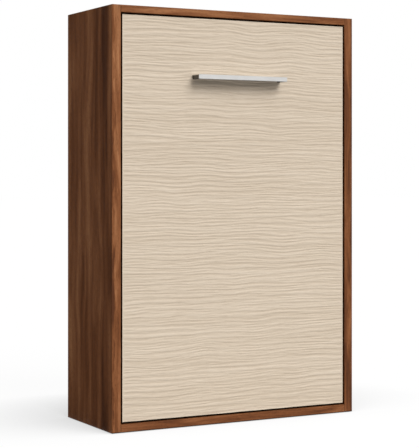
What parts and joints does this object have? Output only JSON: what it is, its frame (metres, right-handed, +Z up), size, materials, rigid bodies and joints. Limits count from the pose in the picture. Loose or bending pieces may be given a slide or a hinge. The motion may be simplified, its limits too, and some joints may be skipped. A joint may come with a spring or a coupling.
{
  "type": "wall bed",
  "caption": "Upright wall bed: dark wood cabinet with a pale rippled front and bar handle; the bed folds down on gas springs and a swing-out leg.",
  "frame": {"origin": "bottom centre of the closed bed, on the floor", "axes": "+Z up, -Y out of the front, +Y to the wall, +X to the right as seen from the front"},
  "size_m": [1.4, 0.616, 2.09],
  "materials": {
    "walnut": "satin",
    "back_sheet": "matte",
    "zinc_steel": "satin",
    "grey_powder_coat": "matte",
    "black_plastic": "matte",
    "black_rubber": "matte",
    "magnet": "satin",
    "light_larch": "matte",
    "satin_aluminium": "satin",
    "birch_slat": "satin",
    "mattress_cover": "matte",
    "strap_webbing": "matte",
    "black_lacquer": "gloss",
    "polished_rod": "polished"
  },
  "bodies": {
    "cabinet": {"left_side_panel": "walnut", "right_side_panel": "walnut", "top_panel": "walnut", "base_panel": "walnut", "back_sheet_lower": "back_sheet", "back_sheet_upper": "back_sheet", "back_joiner": "back_sheet", "upper_wall_rail": "walnut", "lower_wall_rail": "walnut", "corner_brackets": "zinc_steel", "corner_screws": "zinc_steel", "floor_glides": "black_plastic", "stop_brackets": "zinc_steel", "stop_buffers": "black_rubber", "catch_magnets": "magnet", "stop_screws": "zinc_steel", "left_mechanism_plate": "grey_powder_coat", "right_mechanism_plate": "grey_powder_coat", "plate_screws": "zinc_steel", "left_pivot_pin": "zinc_steel", "right_pivot_pin": "zinc_steel", "left_anchor_stud": "zinc_steel", "right_anchor_stud": "zinc_steel"},
    "bed": {"front_panel": "light_larch", "handle_bar": "satin_aluminium", "handle_legs": "satin_aluminium", "handle_screws": "zinc_steel", "left_rail": "grey_powder_coat", "right_rail": "grey_powder_coat", "head_rail": "grey_powder_coat", "foot_rail": "grey_powder_coat", "cross_rails": "grey_powder_coat", "rail_end_caps": "black_plastic", "panel_brackets": "zinc_steel", "bracket_screws": "zinc_steel", "sprung_slats": "birch_slat", "slat_holders": "black_plastic", "left_pivot_bush": "black_plastic", "right_pivot_bush": "black_plastic", "left_spring_stud": "zinc_steel", "right_spring_stud": "zinc_steel", "strike_plates": "zinc_steel", "mattress_ledge": "grey_powder_coat", "mattress_guards": "grey_powder_coat", "mattress": "mattress_cover", "mattress_strap": "strap_webbing", "strap_buckle": "black_plastic", "leg_brackets": "grey_powder_coat", "leg_pivot_bolts": "zinc_steel"},
    "leg_frame": {"left_leg": "grey_powder_coat", "right_leg": "grey_powder_coat", "leg_crossbar": "grey_powder_coat", "leg_pads": "black_rubber", "leg_bar_screws": "zinc_steel"},
    "left_cylinder": {"left_gas_cylinder": "black_lacquer", "left_spring_gland": "zinc_steel"},
    "right_cylinder": {"right_gas_cylinder": "black_lacquer", "right_spring_gland": "zinc_steel"},
    "left_rod": {"left_gas_rod": "polished_rod"},
    "right_rod": {"right_gas_rod": "polished_rod"}
  },
  "joints": [
    {"name": "bed_fold", "type": "hinge", "parent": "cabinet", "child": "bed", "pos_m": [0, -0.191, 0.323], "axis": [1, 0, 0], "range_deg": [0, 90], "stiffness_Nm_per_rad": 325, "springref_deg": -17.65},
    {"name": "leg_swing", "type": "hinge", "parent": "bed", "child": "leg_frame", "pos_m": [0, -0.172, 2.028], "axis": [1, 0, 0], "range_deg": [0, 225]},
    {"name": "left_cylinder_swing", "type": "hinge", "parent": "cabinet", "child": "left_cylinder", "pos_m": [0, -0.13406, 0.5355], "axis": [1, 0, 0], "range_deg": [0, 45]},
    {"name": "right_cylinder_swing", "type": "hinge", "parent": "cabinet", "child": "right_cylinder", "pos_m": [0, -0.13406, 0.5355], "axis": [1, 0, 0], "range_deg": [0, 45]},
    {"name": "left_rod_swing", "type": "hinge", "parent": "bed", "child": "left_rod", "pos_m": [0, -0.191, 0.103], "axis": [1, 0, 0], "range_deg": [-45, 0]},
    {"name": "right_rod_swing", "type": "hinge", "parent": "bed", "child": "right_rod", "pos_m": [0, -0.191, 0.103], "axis": [1, 0, 0], "range_deg": [-45, 0]}
  ],
  "couplings": [
    {"joint": "leg_swing", "follows": "bed_fold", "ratio": 2.5},
    {"joint": "left_cylinder_swing", "follows": "bed_fold", "ratio": 0.5},
    {"joint": "right_cylinder_swing", "follows": "bed_fold", "ratio": 0.5},
    {"joint": "left_rod_swing", "follows": "bed_fold", "ratio": -0.5},
    {"joint": "right_rod_swing", "follows": "bed_fold", "ratio": -0.5}
  ]
}
